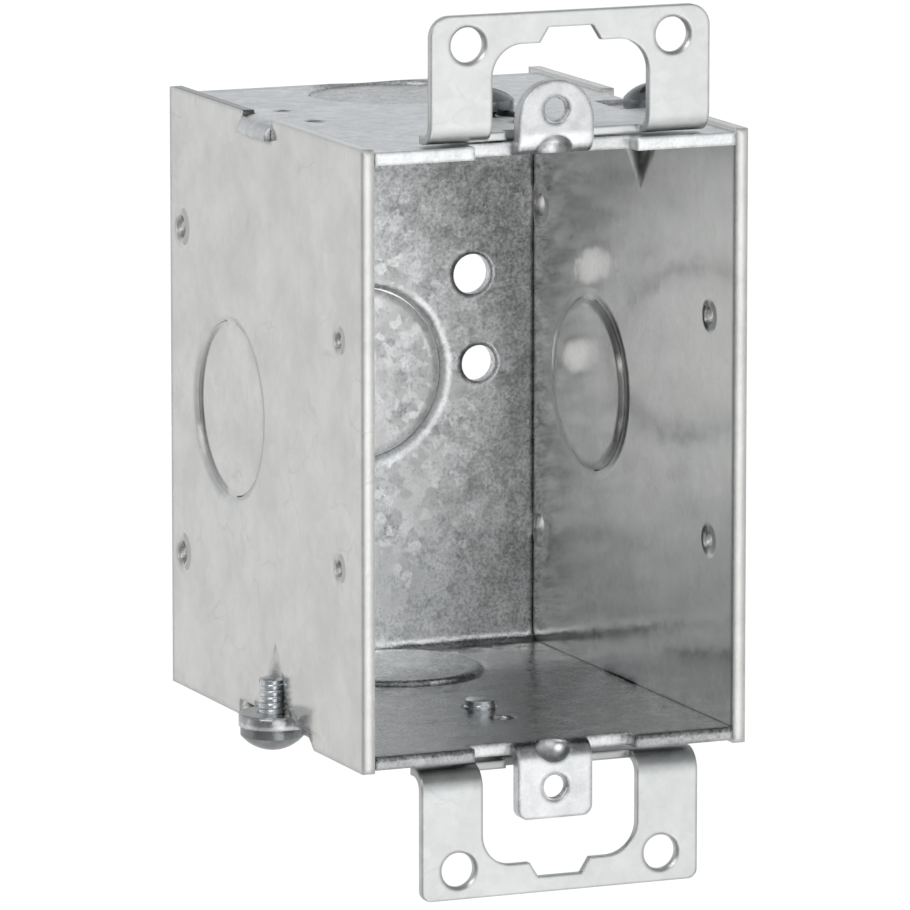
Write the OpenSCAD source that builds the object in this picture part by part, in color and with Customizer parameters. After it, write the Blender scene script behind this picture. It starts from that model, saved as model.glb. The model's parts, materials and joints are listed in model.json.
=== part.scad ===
// Gangable switch box of galvanised sheet steel, in millimetres.
// X runs to the right, Y into the box and Z up. The origin is the centre of the
// two device screw holes, on the plane of the open front.
// One sheet is folded into top, back and bottom. Two flat side plates close it:
// each is caught by a hook at one end and by a ganging screw at the other.

/* [Box] */
// Width over both side plates
box_w = 50.8; // [46:0.2:60]
// Height of a side plate
box_h = 76.2; // [72:0.2:84]
// Depth from the open front to the back
box_d = 63.5; // [58:0.5:76]
// Thickness of the folded body sheet
sheet_t = 1.6; // [1.3:0.1:1.8]
// Thickness of a side plate
plate_t = 1.6; // [1.2:0.1:1.8]
// Inside radius of the two back bends
bend_r = 1.5; // [0.8:0.1:2.5]
// How far a side plate stands past the body walls
plate_proud = 0.4; // [0.2:0.1:0.7]
// Seam between a side plate and the body
seam = 0.1; // [0.05:0.05:0.2]

/* [Knockouts] */
// Radius of a conduit knockout
knockout_r = 11.1; // [9:0.1:11.6]
// How far a knockout disc is pushed out of the sheet
knockout_drop = 0.5; // [0.3:0.1:1]
// Width of the rolled edge that the punch leaves
knockout_roll_w = 0.6; // [0.3:0.1:0.8]
// Depth of that rolled edge
knockout_roll_h = 0.4; // [0.2:0.1:0.6]
// Width of the shear line round a disc
shear_gap = 0.2; // [0.1:0.05:0.3]
// Width of the two ties that hold a disc
tie_w = 3; // [2:0.1:4]
// Back face to the centre of the top and bottom knockouts
wall_knockout_in = 13.3; // [12.8:0.1:16]
// Back face to the centre of the side knockouts
side_knockout_in = 19.7; // [14:0.1:24]

/* [Back holes] */
// Radius of the upper fixing hole
upper_hole_r = 2.6; // [2:0.1:3]
// Upper hole to the right of the middle
upper_hole_x = 15.3; // [14.5:0.1:17]
// Upper hole above the middle
upper_hole_z = 12; // [9:0.1:16]
// Radius of the lower fixing hole
lower_hole_r = 2.35; // [1.8:0.05:2.8]
// Lower hole to the right of the middle
lower_hole_x = 16.2; // [14.5:0.1:17]
// Lower hole above the middle
lower_hole_z = 0.4; // [0:0.1:3]

/* [Device tabs] */
// Spacing of the two device screw holes
device_pitch = 83.34; // [83:0.02:88]
// Radius of a device screw hole
device_hole_r = 1.75; // [1.4:0.05:2]
// Width of a tab
tab_w = 9.8; // [8:0.1:11]
// Inside radius of the tab bend
tab_bend_r = 0.8; // [0.5:0.1:1.2]
// Width of the notch in the wall's front edge on each side of a tab
tab_relief_w = 5.8; // [3:0.1:6.6]
// Screw hole to the square end of the lower tab
lower_tab_end = 3.8; // [3:0.1:5]
// Corner radius of the lower tab
lower_tab_corner_r = 1.3; // [0.5:0.1:2.5]
// Screw hole to the centre of the upper tab's round end
upper_tab_drop = 1.27; // [0.5:0.01:2]
// Radius of the stiffening dimple in each tab bend
dimple_r = 2.5; // [2.2:0.1:2.6]
// Sheet left round a dimple
dimple_t = 0.8; // [0.6:0.1:1]

/* [Plaster ears] */
// Thickness of an ear
ear_t = 1; // [0.9:0.1:1.3]
// Width of an ear
ear_w = 36.6; // [35:0.1:37.6]
// Height of the upper ear's outer edge above the middle of the box
ear_top = 53.7; // [52.5:0.1:58]
// Spacing across of the ear holes
ear_hole_pitch = 26.9; // [26:0.1:27.8]
// Height of the upper ear's holes above the middle of the box
ear_hole_z = 50.1; // [49.4:0.1:50.2]
// Radius of an ear hole
ear_hole_r = 2.15; // [1.8:0.05:2.4]
// Rolled front edge of an ear hole
ear_hole_roll = 0.35; // [0.1:0.05:0.5]
// Width between the legs of an ear
window_w = 20.6; // [18:0.1:21]
// Height of the window's shoulders above the middle of the box
window_shoulder_z = 49.95; // [49:0.05:50.4]
// Corner radius of the window
window_corner_r = 4; // [2:0.1:4.6]
// Height of the window's centre notch
window_notch_h = 1.85; // [0.5:0.05:2]
// Width of the notch at the shoulders
window_notch_w = 8.1; // [6:0.1:10]
// Slope of each side of the notch
window_notch_slope = 1.15; // [0.5:0.05:2]
// Outer corner radius of the upper ear
upper_corner_r = 2.6; // [1:0.1:3.4]
// Outer corner radius of the lower ear
lower_corner_r = 1.2; // [0.5:0.1:3.4]
// Inside radius of the ear bend
ear_bend_r = 1.7; // [1.2:0.1:1.8]
// How far the ear stands in front of the box
ear_front = 0.4; // [0:0.1:0.8]
// Gap between the upper ear and the wall
upper_ear_lift = 0.3; // [0.2:0.05:0.5]
// Gap between the lower ear and the wall
lower_ear_lift = 0.6; // [0.2:0.05:0.7]
// How far the upper ear sits to the right of its tongue
upper_ear_shift = 1.7; // [0:0.1:1.8]
// How far the lower ear sits to the right of its tongue
lower_ear_shift = 0.5; // [0:0.1:1.2]
// How much longer the lower ear's legs are
lower_ear_extra = 0.8; // [0:0.1:1.5]
// Depth at which the window ends in the flange
window_depth = 2.3; // [2:0.1:2.8]
// Play between the flange and the back of the tab's dimple
bay_play = 0.5; // [0.3:0.1:1]
// Gap between the flange and each side of the tab
bay_side = 0.7; // [0.4:0.1:1]
// Depth of the flange in its middle
flange_d = 7; // [5:0.1:9]
// Depth of the flange at the ear's ends
flange_side_d = 3.3; // [2.9:0.1:4.5]
// How far the flange keeps its full depth beside the tongue
flange_run = 3; // [1:0.1:5]
// Width of the flange's tongue
tongue_w = 9.6; // [9:0.1:10.6]
// Web left behind the tongue's slot
slot_web = 2.4; // [1.8:0.1:2.8]
// Travel of an ear along the box
ear_travel = 7; // [4:0.1:7.6]
// Radius of the guide pip in the wall
pip_r = 1.5; // [1:0.1:1.8]
// Depth of the pip behind the open front
pip_y = 16.4; // [16:0.1:19]
// Height of the guide pip
pip_h = 0.9; // [0.6:0.1:1]

/* [Ear screws] */
// Radius of an ear screw's shank
ear_screw_r = 2; // [1.8:0.05:2.2]
// Radius of its head
ear_screw_head_r = 4.2; // [3.8:0.1:4.8]
// Height of its head
ear_screw_head_h = 2.6; // [1.8:0.1:3]
// Depth of the screw behind the open front
ear_screw_y = 23.6; // [23:0.1:25]
// How far its tip stands inside the box
ear_screw_tip = 1.2; // [0.4:0.1:1.6]

/* [Ganging screws] */
// Radius of a ganging screw's shank
gang_r = 1.7; // [1.4:0.05:1.75]
// Radius of its head
gang_head_r = 4; // [3.2:0.1:4.2]
// Height of its head
gang_head_h = 3.1; // [2.4:0.1:3.4]
// Shank below the head
gang_len = 6; // [5:0.1:7]
// Depth of the screw behind the open front
gang_y = 28.4; // [27.5:0.1:29]
// How far the screw axis lies outside the side plate
gang_out = 0.4; // [0.4:0.05:0.8]
// Width of the threaded ear that holds the screw
gang_ear_w = 8.4; // [7.6:0.1:9.4]
// How far that ear is set in from the wall
gang_ear_set = 0.5; // [0.4:0.1:1]
// Length of the ear's step inside the wall edge
gang_ear_run = 4.4; // [3.6:0.1:4.8]
// Length of the slope of that step
gang_ear_slope = 1.2; // [0.8:0.1:1.8]

/* [Hooks] */
// Width of a hook
hook_w = 9.2; // [7:0.1:10]
// Depth of a hook's centre behind the open front
hook_y = 34; // [33.5:0.1:36]
// Inside radius of a hook
hook_r = 0.4; // [0.3:0.05:0.5]
// Gap between a hook and the plate that it holds
hook_gap = 0.15; // [0.05:0.05:0.2]
// How far a hook reaches down past the wall's inner face
hook_reach = 0.6; // [0.6:0.1:1.2]
// Depth of the seat cut into the plate under a hook
hook_seat = 0.9; // [0.5:0.1:1]
// Length of the two lance marks beside a hook
lance_l = 2.7; // [1.5:0.1:4]
// Width of a lance mark
lance_w = 1.1; // [0.6:0.1:1.6]
// Depth of a lance mark
lance_h = 0.9; // [0.4:0.1:1.1]
// Edge of the wall to a lance mark
lance_in = 2.8; // [1.5:0.1:4]

/* [Side plates] */
// Depth of the rear nail holes behind the open front
rear_nail_in = 3.8; // [3:0.1:5]
// Half spacing of the rear nail holes
rear_nail_z = 20.8; // [18:0.1:22]
// Radius of a rear nail hole
rear_nail_r = 1.45; // [1:0.05:1.8]
// Depth of the front nail holes behind the open front
front_nail_y = 7.5; // [5:0.1:9]
// Half spacing of the front nail holes
front_nail_z = 14; // [12:0.1:17]
// Radius of a front nail hole
front_nail_r = 1.05; // [0.8:0.05:1.4]
// Height of the notch beside the ganging screw
notch_h = 2; // [1.6:0.1:2.4]
// Length of the notch in front of the screw
notch_front = 10.2; // [8:0.1:12]
// Length of the notch behind the screw
notch_rear = 11.8; // [8:0.1:13]
// Slope at the front end of the notch
notch_slope = 2.4; // [1:0.1:4]
// Length of the half cone pressed in for the screw
dart_l = 11.1; // [10:0.1:12]
// Half angle of that cone
dart_angle = 32; // [30:0.5:35]
// Angle by which the cone leans out of the plate
dart_lean = 12; // [10:0.5:14]

/* [Hidden] */
$fn = 48;
// Overrun of every cut, past the face that it opens
over = 0.5;
// Radial play of a screw in its hole
screw_play = 0.05;
// Play of a pip or shank in the tongue's slot
slot_play = 0.25;
// Play between the ear of the body and the plate's notch
notch_play = 0.2;
// Play between the plate's notch and the hook that passes over it
hook_notch_play = 0.15;
// Width of a screwdriver slot
driver_slot_w = 1.2;
// Depth of a screwdriver slot
driver_slot_d = 1.1;
// Straight part of a screw head under its dome
head_side_h = 1.2;

half_w = box_w / 2;
half_h = box_h / 2;
// Outer and inner faces of the top wall
wall_z = half_h - plate_proud;
wall_in = wall_z - sheet_t;
body_half = half_w - plate_t - seam;
back_in = box_d - sheet_t;
gang_x = half_w + gang_out;
gang_ear_z = wall_z - gang_ear_set;
gang_ear_in = gang_ear_z - sheet_t;
step_start = body_half - gang_ear_run;
step_end = step_start + gang_ear_slope;
tab_hole_z = device_pitch / 2;
tab_outer_r = tab_bend_r + sheet_t;
wall_knockout_y = box_d - wall_knockout_in;
side_knockout_y = box_d - side_knockout_in;
slot_half = ear_screw_r + slot_play;
slot_rear = ear_screw_y + slot_half;
tongue_d = slot_rear + slot_web;
slot_front = pip_y - pip_r - slot_play - ear_travel;
steel = "#c9cac6";
steel_dark = "#a9aba8";
steel_bright = "#dcddda";
zinc = "#b4b6b3";

// Repeats its children half a turn about the depth axis
module turned_pair() {
    children();
    rotate([0, 180, 0])
        children();
}

// Quarter of a bent sheet in the plane, curving from -X to -Y about the origin
module quarter_bend(inner_r, thick) {
    outer_r = inner_r + thick;
    intersection() {
        difference() {
            circle(outer_r);
            circle(inner_r);
        }
        translate([-outer_r, -outer_r])
            square(outer_r);
    }
}

// Side view of a box that is rounded at the back, for depth and half height
module rounded_back(depth, half, r) {
    translate([-over, -half])
        square([depth - r + over, 2 * half]);
    translate([-over, r - half])
        square([depth + over, 2 * (half - r)]);
    for (side = [-1, 1])
        translate([depth - r, side * (half - r)])
            circle(r);
}

// Extrudes a side view, drawn as depth and height, across the width
module across(width) {
    rotate([90, 0, 90])
        linear_extrude(width, center = true)
            children();
}

// Top, back and bottom in one folded sheet, without any holes
module folded_sheet() {
    intersection() {
        across(2 * body_half)
            difference() {
                rounded_back(box_d, wall_z, bend_r + sheet_t);
                rounded_back(back_in, wall_in, bend_r);
            }
        translate([-body_half, 0, -half_h])
            cube([2 * body_half, box_d, box_h]);
    }
}

// Round tool along +Z through a sheet on z = 0, with another radius at that face
module knockout_tool(r, face_r) {
    rotate_extrude()
        polygon([
            [0, -bend_r],
            [face_r, -bend_r],
            [face_r, 0],
            [r, knockout_roll_h],
            [r, sheet_t + bend_r],
            [0, sheet_t + bend_r]
        ]);
}

// Cuts a knockout, its rolled edge on the face at z = 0
module knockout_hole() {
    knockout_tool(knockout_r, knockout_r + knockout_roll_w);
}

// Keeps a disc, its rolled edge on the face at z = 0
module knockout_disc() {
    knockout_tool(knockout_r - shear_gap, knockout_r - shear_gap - knockout_roll_w);
}

// Ties between a knockout disc and its sheet; z = 0 is the face that the disc leaves
module knockout_ties(thick) {
    for (side = [-1, 1])
        translate([side * (knockout_r - shear_gap / 2), 0, (thick + knockout_drop) / 2])
            cube([3 * shear_gap, tie_w, thick - knockout_drop], center = true);
}

// Body sheet with its four sheared knockouts, discs standing in or out
module sheared_sheet() {
    difference() {
        folded_sheet();
        turned_pair()
            translate([0, wall_knockout_y, wall_z])
                mirror([0, 0, 1])
                    knockout_hole();
        translate([0, back_in, 0])
            rotate([-90, 0, 0])
                knockout_hole();
    }
    turned_pair() {
        translate([0, 0, -knockout_drop])
            intersection() {
                folded_sheet();
                translate([0, wall_knockout_y, wall_in])
                    knockout_disc();
            }
        translate([0, wall_knockout_y, wall_z])
            mirror([0, 0, 1])
                knockout_ties(sheet_t);
    }
    translate([0, knockout_drop, 0])
        intersection() {
            folded_sheet();
            translate([0, box_d, 0])
                rotate([90, 0, 0])
                    knockout_disc();
        }
    translate([0, back_in, 0])
        rotate([-90, 90, 0])
            knockout_ties(sheet_t);
}

// Side view of a wall bending up into a device tab
module tab_profile() {
    translate([tab_outer_r, wall_z + tab_bend_r])
        quarter_bend(tab_bend_r, sheet_t);
    translate([0, wall_z + tab_bend_r])
        square([sheet_t, ear_top - wall_z]);
    translate([tab_outer_r, wall_in])
        square([over, sheet_t]);
}

// Front view of the upper tab, with a round end
module upper_tab_outline() {
    translate([-tab_w / 2, wall_in])
        square([tab_w, tab_hole_z - upper_tab_drop - wall_in]);
    translate([0, tab_hole_z - upper_tab_drop])
        circle(tab_w / 2);
}

// Front view of the lower tab, with a square end and small corners
module lower_tab_outline() {
    end_z = tab_hole_z + lower_tab_end;
    half = tab_w / 2 - lower_tab_corner_r;
    translate([-tab_w / 2, wall_in])
        square([tab_w, end_z - lower_tab_corner_r - wall_in]);
    translate([-half, wall_in])
        square([2 * half, end_z - wall_in]);
    for (side = [-1, 1])
        translate([side * half, end_z - lower_tab_corner_r])
            circle(lower_tab_corner_r);
}

// Device tab on the top wall; its children are the front view of its outline
module device_tab() {
    difference() {
        union() {
            intersection() {
                across(tab_w)
                    tab_profile();
                translate([0, tab_outer_r + over, 0])
                    rotate([90, 0, 0])
                        linear_extrude(tab_outer_r + 2 * over)
                            children();
            }
            // Back of the dimple, standing in the corner behind the bend
            intersection() {
                translate([0, 0, wall_in])
                    sphere(dimple_r + dimple_t);
                translate([-tab_w / 2, sheet_t / 2, wall_in + sheet_t / 2])
                    cube([tab_w, box_d, box_h]);
            }
        }
        translate([0, 0, wall_in])
            sphere(dimple_r);
        translate([0, -over, tab_hole_z])
            rotate([-90, 0, 0])
                cylinder(r = device_hole_r, h = sheet_t + 2 * over);
    }
}

// Space in the top wall's front edge for a tab and the notch on each side of it
module tab_slot() {
    translate([-tab_w / 2 - tab_relief_w, -over, wall_in - over])
        cube([tab_w + 2 * tab_relief_w, tab_outer_r + over, sheet_t + 2 * over]);
}

// Threaded ear of the top right edge, stepped in and carrying the ganging screw
module gang_ear() {
    translate([0, gang_y, 0])
        rotate([90, 0, 0])
            linear_extrude(gang_ear_w, center = true)
                polygon([
                    [step_start - over, wall_in],
                    [step_start - over, wall_z],
                    [step_start, wall_z],
                    [step_end, gang_ear_z],
                    [gang_x, gang_ear_z],
                    [gang_x, gang_ear_in],
                    [step_end, gang_ear_in],
                    [step_start, wall_in]
                ]);
    translate([gang_x, gang_y, gang_ear_in])
        cylinder(r = gang_ear_w / 2, h = sheet_t);
}

// Hook of the top left edge, curled over the outside of the side plate
module hook() {
    lip_in = half_w - hook_seat + hook_gap;
    bend_x = lip_in - hook_r;
    translate([0, hook_y, 0])
        rotate([90, 0, 0])
            linear_extrude(hook_w, center = true) {
                translate([-bend_x, wall_in])
                    square([bend_x - body_half + over, sheet_t]);
                translate([-bend_x, wall_in - hook_r])
                    mirror([0, 1])
                        quarter_bend(hook_r, sheet_t);
                translate([-lip_in - sheet_t, wall_in - hook_reach])
                    square([sheet_t, hook_reach - hook_r]);
            }
}

// Wedge-shaped lance marks in the wall beside the hook
module hook_lances() {
    for (side = [-1, 1])
        translate([lance_in - body_half, hook_y + side * (hook_w + lance_w) / 2, wall_z - lance_h])
            linear_extrude(lance_h + over)
                polygon([
                    [0, -lance_w / 2],
                    [lance_l, 0],
                    [0, lance_w / 2]
                ]);
}

// Guide pip of the top wall, half sheared outwards
module pip(r, z) {
    translate([0, pip_y, z])
        cylinder(r = r, h = sheet_t);
}

// Folded sheet with tabs, hooks, threaded ears, knockouts and holes
module body() {
    color(steel)
    difference() {
        union() {
            difference() {
                sheared_sheet();
                for (flip = [0, 1])
                    mirror([0, 0, flip]) {
                        tab_slot();
                        pip(pip_r, wall_in - sheet_t + pip_h);
                    }
                turned_pair() {
                    hook_lances();
                    translate([step_start, gang_y - gang_ear_w / 2, wall_in - over])
                        cube([gang_ear_run + over, gang_ear_w, sheet_t + 2 * over]);
                }
            }
            turned_pair() {
                gang_ear();
                hook();
            }
            device_tab()
                upper_tab_outline();
            mirror([0, 0, 1])
                device_tab()
                    lower_tab_outline();
            for (flip = [0, 1])
                mirror([0, 0, flip])
                    pip(pip_r, wall_in + pip_h);
        }
        turned_pair()
            translate([gang_x, gang_y, gang_ear_in - over])
                cylinder(r = gang_r + screw_play, h = sheet_t + 2 * over);
        for (flip = [0, 1])
            mirror([0, 0, flip])
                translate([0, ear_screw_y, wall_in - over])
                    cylinder(r = ear_screw_r + screw_play, h = sheet_t + 2 * over);
        translate([upper_hole_x, back_in - over, upper_hole_z])
            rotate([-90, 0, 0])
                cylinder(r = upper_hole_r, h = sheet_t + 2 * over);
        translate([lower_hole_x, back_in - over, lower_hole_z])
            rotate([-90, 0, 0])
                cylinder(r = lower_hole_r, h = sheet_t + 2 * over);
    }
}

// Leaning cone of the dart, its point on the plate's outer face
module dart_cone(shift) {
    cone_l = 2 * dart_l;
    translate([shift - half_w, gang_y, dart_l - half_h])
        rotate([0, 180 + dart_lean, 0])
            cylinder(r1 = 0, r2 = cone_l * tan(dart_angle), h = cone_l);
}

// Nail holes of the left plate, through its thickness
module nail_holes(y, z, r) {
    for (side = [-1, 1])
        translate([-half_w - over, y, side * z])
            rotate([0, 90, 0])
                cylinder(r = r, h = plate_t + 2 * over);
}

// Left side plate: hook end at the top, screw end at the bottom
module side_plate() {
    dart_half = dart_l * tan(dart_angle);
    difference() {
        union() {
            translate([-half_w, 0, -half_h])
                cube([plate_t, box_d, box_h]);
            // Back of the dart, inside the box
            intersection() {
                dart_cone(plate_t);
                translate([plate_t - half_w - over, gang_y - dart_half, -half_h])
                    cube([dart_half, 2 * dart_half, dart_l]);
            }
        }
        // Shallow seat that lets the hook's lip lie almost flush
        translate([-half_w - over, hook_y - hook_w / 2 - hook_notch_play, wall_in - hook_reach - hook_gap])
            cube([hook_seat + over, hook_w + 2 * hook_notch_play, half_h]);
        dart_cone(0);
        // Clears the threaded ear that crosses the plate
        translate([-half_w - over, gang_y - dart_half, -half_h - over])
            cube([dart_half + plate_t, 2 * dart_half, half_h - gang_ear_in + notch_play + over]);
        // Wide notch beside the ear
        translate([-half_w - over, gang_y, -half_h])
            rotate([90, 0, 90])
                linear_extrude(plate_t + 2 * over)
                    polygon([
                        [-notch_front - notch_slope, -over],
                        [-notch_front - notch_slope, 0],
                        [-notch_front, notch_h],
                        [notch_rear, notch_h],
                        [notch_rear, -over]
                    ]);
        // Notch for the hook
        translate([-half_w - over, hook_y - hook_w / 2 - hook_notch_play, wall_in - hook_notch_play])
            cube([plate_t + 2 * over, hook_w + 2 * hook_notch_play, half_h]);
        translate([-half_w, side_knockout_y, 0])
            rotate([0, 90, 0])
                knockout_hole();
        nail_holes(box_d - rear_nail_in, rear_nail_z, rear_nail_r);
        nail_holes(front_nail_y, front_nail_z, front_nail_r);
    }
    translate([plate_t - half_w + knockout_drop, side_knockout_y, 0])
        rotate([0, -90, 0])
            intersection() {
                knockout_disc();
                cylinder(r = knockout_r, h = plate_t);
            }
    translate([-half_w, side_knockout_y, 0])
        rotate([0, 90, 0])
            knockout_ties(plate_t);
}

module side_plate_left() {
    color(steel)
        side_plate();
}

module side_plate_right() {
    color(steel_dark)
        rotate([0, 180, 0])
            side_plate();
}

// Front view of the opening between an ear's legs
module window_outline() {
    half = window_w / 2 - window_corner_r;
    low = window_notch_w / 2;
    translate([-window_w / 2, 0])
        square([window_w, window_shoulder_z - window_corner_r]);
    translate([-half, 0])
        square([2 * half, window_shoulder_z]);
    for (side = [-1, 1])
        translate([side * half, window_shoulder_z - window_corner_r])
            circle(window_corner_r);
    polygon([
        [-low, window_shoulder_z - window_notch_h],
        [-low, window_shoulder_z],
        [window_notch_slope - low, window_shoulder_z + window_notch_h],
        [low - window_notch_slope, window_shoulder_z + window_notch_h],
        [low, window_shoulder_z],
        [low, window_shoulder_z - window_notch_h]
    ]);
}

// Front view of an ear's outer outline
module ear_outline(corner_r) {
    half = ear_w / 2 - corner_r;
    translate([-ear_w / 2, 0])
        square([ear_w, ear_top - corner_r]);
    translate([-half, 0])
        square([2 * half, ear_top]);
    for (side = [-1, 1])
        translate([side * half, ear_top - corner_r])
            circle(corner_r);
}

// Side view of an ear: flange on the wall, bend and upright front
module ear_profile(lift, longer) {
    outer_r = ear_bend_r + ear_t;
    base_z = wall_z + lift;
    translate([outer_r - ear_front, base_z + outer_r])
        quarter_bend(ear_bend_r, ear_t);
    translate([-ear_front, base_z + outer_r])
        square([ear_t, ear_top + longer - base_z - outer_r]);
    translate([outer_r - ear_front, base_z])
        square([flange_d - outer_r + ear_front, ear_t]);
}

// Top view of the tongue with its slot, from the flange to the rear
module tongue_outline() {
    difference() {
        union() {
            translate([-tongue_w / 2, flange_d - over])
                square([tongue_w, tongue_d - tongue_w / 2 - flange_d + over]);
            translate([0, tongue_d - tongue_w / 2])
                circle(tongue_w / 2);
        }
        tongue_slot();
    }
}

// Top view of the slot that runs over the pip and the screw
module tongue_slot() {
    translate([-slot_half, slot_front + slot_half])
        square([2 * slot_half, slot_rear - slot_front - 2 * slot_half]);
    for (y = [slot_front + slot_half, slot_rear - slot_half])
        translate([0, y])
            circle(slot_half);
}

// Top view of the flange, shallow at the ear's ends and deep beside the tongue
module flange_outline(shift) {
    full_x = tongue_w / 2 + flange_run;
    polygon([
        [shift - ear_w / 2, -ear_front - over],
        [shift - ear_w / 2, flange_side_d],
        [-full_x, flange_d],
        [full_x, flange_d],
        [shift + ear_w / 2, flange_side_d],
        [shift + ear_w / 2, -ear_front - over]
    ]);
}

// Plaster ear of the top wall, its legs shifted sideways from the tongue
module plaster_ear(corner_r, lift, shift, longer) {
    base_z = wall_z + lift;
    difference() {
        union() {
            intersection() {
                translate([shift, 0, 0])
                    across(ear_w)
                        ear_profile(lift, longer);
                translate([shift, flange_d + over, longer])
                    rotate([90, 0, 0])
                        linear_extrude(flange_d + ear_front + 2 * over)
                            ear_outline(corner_r);
                linear_extrude(ear_top + longer)
                    flange_outline(shift);
            }
            translate([0, 0, base_z])
                linear_extrude(ear_t)
                    tongue_outline();
        }
        translate([shift, window_depth, longer])
            rotate([90, 0, 0])
                linear_extrude(window_depth + ear_front + over)
                    window_outline();
        // Bay in the flange, clear of the tab and its dimple
        translate([-tab_w / 2 - bay_side, 0, base_z - over])
            cube([tab_w + 2 * bay_side, dimple_r + dimple_t + bay_play, ear_t + 2 * over]);
        for (side = [-1, 1])
            translate([shift + side * ear_hole_pitch / 2, -ear_front - over, ear_hole_z + longer])
                rotate([-90, 0, 0]) {
                    cylinder(r = ear_hole_r, h = ear_t + 2 * over);
                    cylinder(r1 = ear_hole_r + ear_hole_roll + over, r2 = ear_hole_r, h = ear_hole_roll + over);
                }
    }
}

module plaster_ear_top() {
    color(steel_bright)
        plaster_ear(upper_corner_r, upper_ear_lift, upper_ear_shift, 0);
}

module plaster_ear_bottom() {
    color(steel_bright)
        mirror([0, 0, 1])
            plaster_ear(lower_corner_r, lower_ear_lift, lower_ear_shift, lower_ear_extra);
}

// Domed slotted screw, standing on z = 0 under its head, shank downwards
module domed_screw(shank_r, shank_l, head_r, head_h) {
    dome_h = head_h - head_side_h;
    dome_r = (head_r * head_r + dome_h * dome_h) / (2 * dome_h);
    difference() {
        union() {
            cylinder(r = head_r, h = head_side_h);
            intersection() {
                translate([0, 0, head_h - dome_r])
                    sphere(dome_r, $fn = 96);
                cylinder(r = head_r, h = head_h);
            }
            translate([0, 0, -shank_l])
                cylinder(r = shank_r, h = shank_l + head_side_h);
        }
        translate([-head_r - over, -driver_slot_w / 2, head_h - driver_slot_d])
            cube([2 * (head_r + over), driver_slot_w, driver_slot_d + over]);
    }
}

// Ganging screw of the top right ear
module ganging_screw() {
    translate([gang_x, gang_y, gang_ear_z])
        rotate([0, 0, 35])
            domed_screw(gang_r, gang_len, gang_head_r, gang_head_h);
}

module ganging_screw_right() {
    color(zinc)
        ganging_screw();
}

module ganging_screw_left() {
    color(zinc)
        rotate([0, 180, 0])
            ganging_screw();
}

// Ear screw of the top wall, its head on the tongue
module ear_screw(lift) {
    flange_top = wall_z + lift + ear_t;
    translate([0, ear_screw_y, flange_top])
        rotate([0, 0, -20])
            domed_screw(ear_screw_r, flange_top - wall_in + ear_screw_tip, ear_screw_head_r, ear_screw_head_h);
}

module ear_screw_top() {
    color(zinc)
        ear_screw(upper_ear_lift);
}

module ear_screw_bottom() {
    color(zinc)
        mirror([0, 0, 1])
            ear_screw(lower_ear_lift);
}

body();
side_plate_left();
side_plate_right();
plaster_ear_top();
plaster_ear_bottom();
ganging_screw_left();
ganging_screw_right();
ear_screw_top();
ear_screw_bottom();
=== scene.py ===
# %% [markdown]
# # A sheet steel switch box, dressed for its picture
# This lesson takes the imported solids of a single-gang switch box and gives them the looks of the
# real thing: galvanised sheet that was sheared, pressed and folded, and small zinc plated screws.
# The box stands with its open front towards the room: -Y is out of the opening, +Z is up.

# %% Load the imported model
import json
import math

import bmesh
import bpy
from mathutils import Matrix, Vector


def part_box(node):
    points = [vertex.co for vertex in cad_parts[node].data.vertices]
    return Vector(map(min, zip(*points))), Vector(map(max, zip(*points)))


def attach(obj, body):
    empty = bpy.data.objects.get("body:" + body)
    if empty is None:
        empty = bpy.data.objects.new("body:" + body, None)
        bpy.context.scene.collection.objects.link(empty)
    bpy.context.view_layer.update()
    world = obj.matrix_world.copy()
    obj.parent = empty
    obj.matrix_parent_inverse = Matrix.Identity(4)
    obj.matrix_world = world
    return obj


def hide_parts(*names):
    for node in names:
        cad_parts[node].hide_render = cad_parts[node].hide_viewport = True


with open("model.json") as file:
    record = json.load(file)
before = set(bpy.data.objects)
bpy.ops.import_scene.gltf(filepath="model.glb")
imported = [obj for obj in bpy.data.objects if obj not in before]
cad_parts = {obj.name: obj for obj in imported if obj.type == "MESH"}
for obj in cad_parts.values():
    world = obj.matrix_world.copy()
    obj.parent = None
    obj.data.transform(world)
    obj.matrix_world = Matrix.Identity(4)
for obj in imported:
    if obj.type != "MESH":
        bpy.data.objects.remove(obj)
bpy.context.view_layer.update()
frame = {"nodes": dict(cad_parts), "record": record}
MM = 0.001
print("nodes:", sorted(frame["nodes"]))

# %% [markdown]
# ## The camera
# The picture was taken from far away with a long lens, so the box shows hardly any perspective.
# A look-at constraint would find the same view, but its result is hidden. Here the three axes of
# the camera are worked out openly from one compass angle and one height angle, which were fitted
# to the corners of the box in the picture.

# %% Place the camera
AZIMUTH = math.radians(-22.948)
ELEVATION = math.radians(9.859)
CAMERA_DISTANCE = 1126.1 * MM
AIM = Vector((0, 30.0, 0)) * MM
AIM_SHIFT = (-0.559 * MM, -5.259 * MM)
LENS_MM = 358.58
SENSOR_MM = 36

backward = Vector((math.sin(AZIMUTH) * math.cos(ELEVATION),
                   -math.cos(AZIMUTH) * math.cos(ELEVATION),
                   math.sin(ELEVATION)))
rightward = Vector((math.cos(AZIMUTH), math.sin(AZIMUTH), 0))
upward = backward.cross(rightward)
camera_data = bpy.data.cameras.new("camera")
camera_data.lens = LENS_MM
camera_data.sensor_width = SENSOR_MM
camera_data.clip_end = 50
camera = bpy.data.objects.new("camera", camera_data)
bpy.context.scene.collection.objects.link(camera)
camera_spot = AIM + backward * CAMERA_DISTANCE + rightward * AIM_SHIFT[0] + upward * AIM_SHIFT[1]
camera_turn = Matrix((rightward, upward, backward)).transposed().to_4x4()
camera.matrix_world = Matrix.Translation(camera_spot) @ camera_turn
bpy.context.scene.camera = camera
print("camera at", [round(v, 3) for v in camera_spot], "m")

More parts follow.
